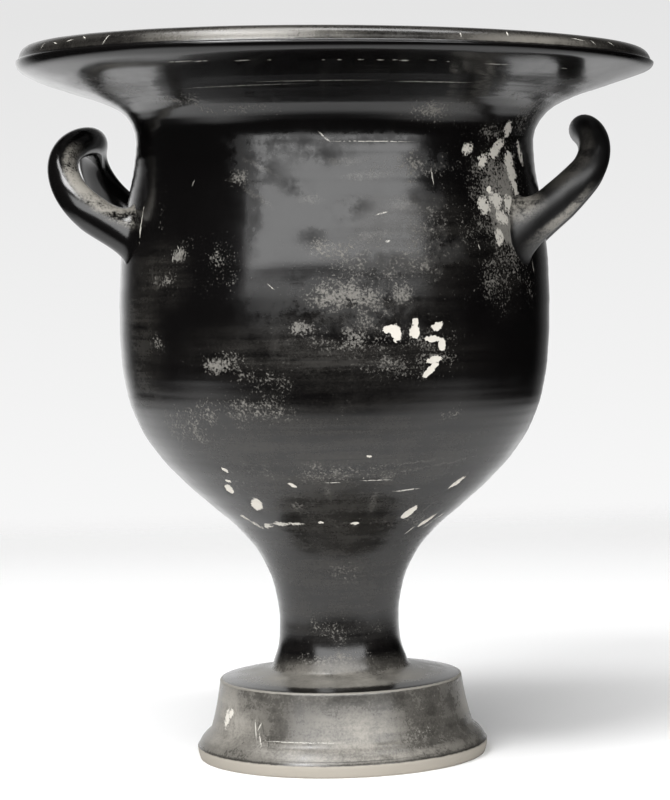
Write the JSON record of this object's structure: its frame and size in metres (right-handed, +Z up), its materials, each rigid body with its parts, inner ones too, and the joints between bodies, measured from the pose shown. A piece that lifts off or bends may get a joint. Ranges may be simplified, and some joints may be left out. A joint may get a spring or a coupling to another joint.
{
  "type": "greek bell krater",
  "caption": "Wheel-thrown black-gloss bell krater: deep open bowl with a wide flaring lip, narrow stem, stepped disc foot and upturned horseshoe handles.",
  "frame": {"origin": "on the standing plane, below the middle of the mouth; the foot's centre is 5 mm to -X of it, because the bowl leans", "axes": "+Z up; the handles lie along X, the higher one towards -X; the side seen from the front faces -Y"},
  "size_m": [0.3072, 0.3072, 0.3468],
  "materials": {
    "black_gloss_clay": "satin"
  },
  "bodies": {
    "root": {"krater": "black_gloss_clay"}
  },
  "joints": []
}
